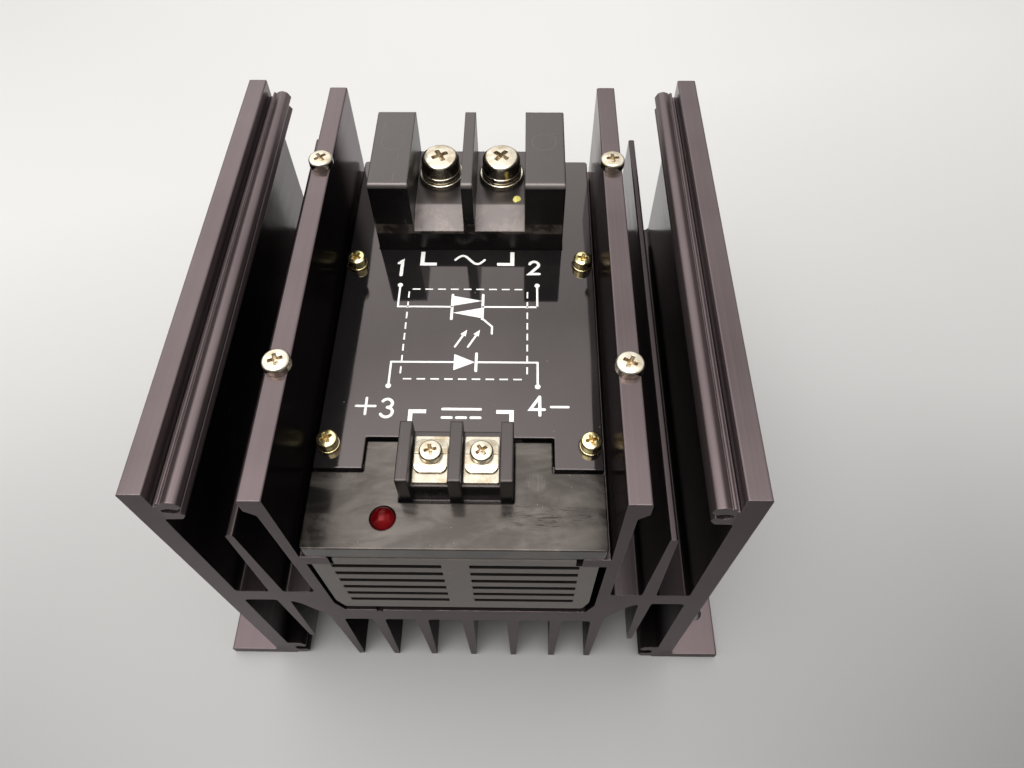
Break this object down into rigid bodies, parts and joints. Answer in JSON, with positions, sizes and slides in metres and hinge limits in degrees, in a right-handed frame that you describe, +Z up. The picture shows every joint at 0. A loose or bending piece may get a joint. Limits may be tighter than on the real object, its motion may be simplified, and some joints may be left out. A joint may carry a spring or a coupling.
{
  "type": "solid state relay",
  "caption": "Panel-mount solid state relay on its own extruded aluminium heat sink, with screw terminals for load and input and a red indicator.",
  "frame": {"origin": "middle of the footprint, on the underside of the mounting feet", "axes": "+Z up away from the mounting panel, +Y towards the load terminals, +X to the right when the input terminals face the viewer"},
  "size_m": [0.173, 0.142, 0.1353],
  "materials": {
    "heat_sink_anodised": "satin dark brown-black anodised",
    "gloss_black": "polished black moulded plastic",
    "satin_black": "satin black moulded plastic",
    "terminal_black": "satin black thermoset",
    "grille_grey": "matte dark grey plastic",
    "bright_nickel": "bright nickel plate",
    "yellow_zinc": "yellow passivated zinc plate",
    "brass_insert": "turned brass",
    "copper_bar": "bare copper, density taken as brass",
    "module_plate": "nickel-plated copper plate, density taken as brass",
    "module_case": "moulded black epoxy case",
    "thermal_sheet": "grey silicone heat-transfer sheet",
    "led_red": "clear dark red epoxy",
    "tinned_wire": "tinned",
    "board_green": "solder mask over glass-epoxy",
    "component_body": "moulded body",
    "capacitor_box": "cast box",
    "resistor_body": "lacquered body",
    "varistor_body": "dipped epoxy",
    "wire_insulation": "PVC insulation"
  },
  "bodies": {
    "root": {"heat_sink": "heat_sink_anodised", "wall_screws": "bright_nickel", "main_cover": "gloss_black", "front_cover": "satin_black", "cover_screws": "yellow_zinc", "cover_screw_washers": "yellow_zinc", "front_grille": "grille_grey", "rear_grille": "grille_grey", "load_terminal_block": "terminal_black", "load_terminal_inserts": "brass_insert", "input_terminal_block": "terminal_black", "input_terminal_plate_3": "bright_nickel", "input_terminal_plate_4": "bright_nickel", "indicator_led": "led_red", "led_leads": "tinned_wire", "thermal_sheet": "thermal_sheet", "power_module_base": "module_plate", "power_module_case": "module_case", "module_mounting_screws": "bright_nickel", "module_terminal_screws": "bright_nickel", "load_busbar_1": "copper_bar", "load_busbar_2": "copper_bar", "circuit_board": "board_green", "board_spacers": "brass_insert", "board_screws": "bright_nickel", "photocoupler": "component_body", "snubber_capacitor": "capacitor_box", "snubber_resistor": "resistor_body", "varistor": "varistor_body", "input_resistors": "resistor_body", "input_transistor": "component_body", "gate_wires": "wire_insulation", "snubber_wires": "wire_insulation"},
    "load_clamp_1": {"load_spring_washer_1": "bright_nickel", "load_flat_washer_1": "bright_nickel"},
    "load_bolt_1": {"load_screw_1": "bright_nickel"},
    "load_clamp_2": {"load_spring_washer_2": "bright_nickel", "load_flat_washer_2": "bright_nickel"},
    "load_bolt_2": {"load_screw_2": "bright_nickel"},
    "input_clamp_3": {"input_washer_3": "bright_nickel"},
    "input_bolt_3": {"input_screw_3": "bright_nickel"},
    "input_clamp_4": {"input_washer_4": "bright_nickel"},
    "input_bolt_4": {"input_screw_4": "bright_nickel"}
  },
  "joints": [
    {"name": "load_clamp_1_lift", "type": "slide", "parent": "root", "child": "load_clamp_1", "axis": [0, 0, 1], "range_m": [0, 0.004]},
    {"name": "load_screw_1_turn", "type": "hinge", "parent": "load_clamp_1", "child": "load_bolt_1", "pos_m": [-0.0096, 0.0504, 0.1185], "axis": [0, 0, 1], "range_deg": [0, 1440]},
    {"name": "load_clamp_2_lift", "type": "slide", "parent": "root", "child": "load_clamp_2", "axis": [0, 0, 1], "range_m": [0, 0.004]},
    {"name": "load_screw_2_turn", "type": "hinge", "parent": "load_clamp_2", "child": "load_bolt_2", "pos_m": [0.0096, 0.0504, 0.1185], "axis": [0, 0, 1], "range_deg": [0, 1440]},
    {"name": "input_clamp_3_lift", "type": "slide", "parent": "root", "child": "input_clamp_3", "axis": [0, 0, 1], "range_m": [0, 0.003]},
    {"name": "input_screw_3_turn", "type": "hinge", "parent": "input_clamp_3", "child": "input_bolt_3", "pos_m": [-0.0065, -0.04785, 0.1112], "axis": [0, 0, 1], "range_deg": [0, 1800]},
    {"name": "input_clamp_4_lift", "type": "slide", "parent": "root", "child": "input_clamp_4", "axis": [0, 0, 1], "range_m": [0, 0.003]},
    {"name": "input_screw_4_turn", "type": "hinge", "parent": "input_clamp_4", "child": "input_bolt_4", "pos_m": [0.0065, -0.04785, 0.1112], "axis": [0, 0, 1], "range_deg": [0, 1800]}
  ],
  "couplings": [
    {"joint": "load_screw_1_turn", "follows": "load_clamp_1_lift", "rad_per_m": 6283.2},
    {"joint": "load_screw_2_turn", "follows": "load_clamp_2_lift", "rad_per_m": 6283.2},
    {"joint": "input_screw_3_turn", "follows": "input_clamp_3_lift", "rad_per_m": 10472},
    {"joint": "input_screw_4_turn", "follows": "input_clamp_4_lift", "rad_per_m": 10472}
  ]
}
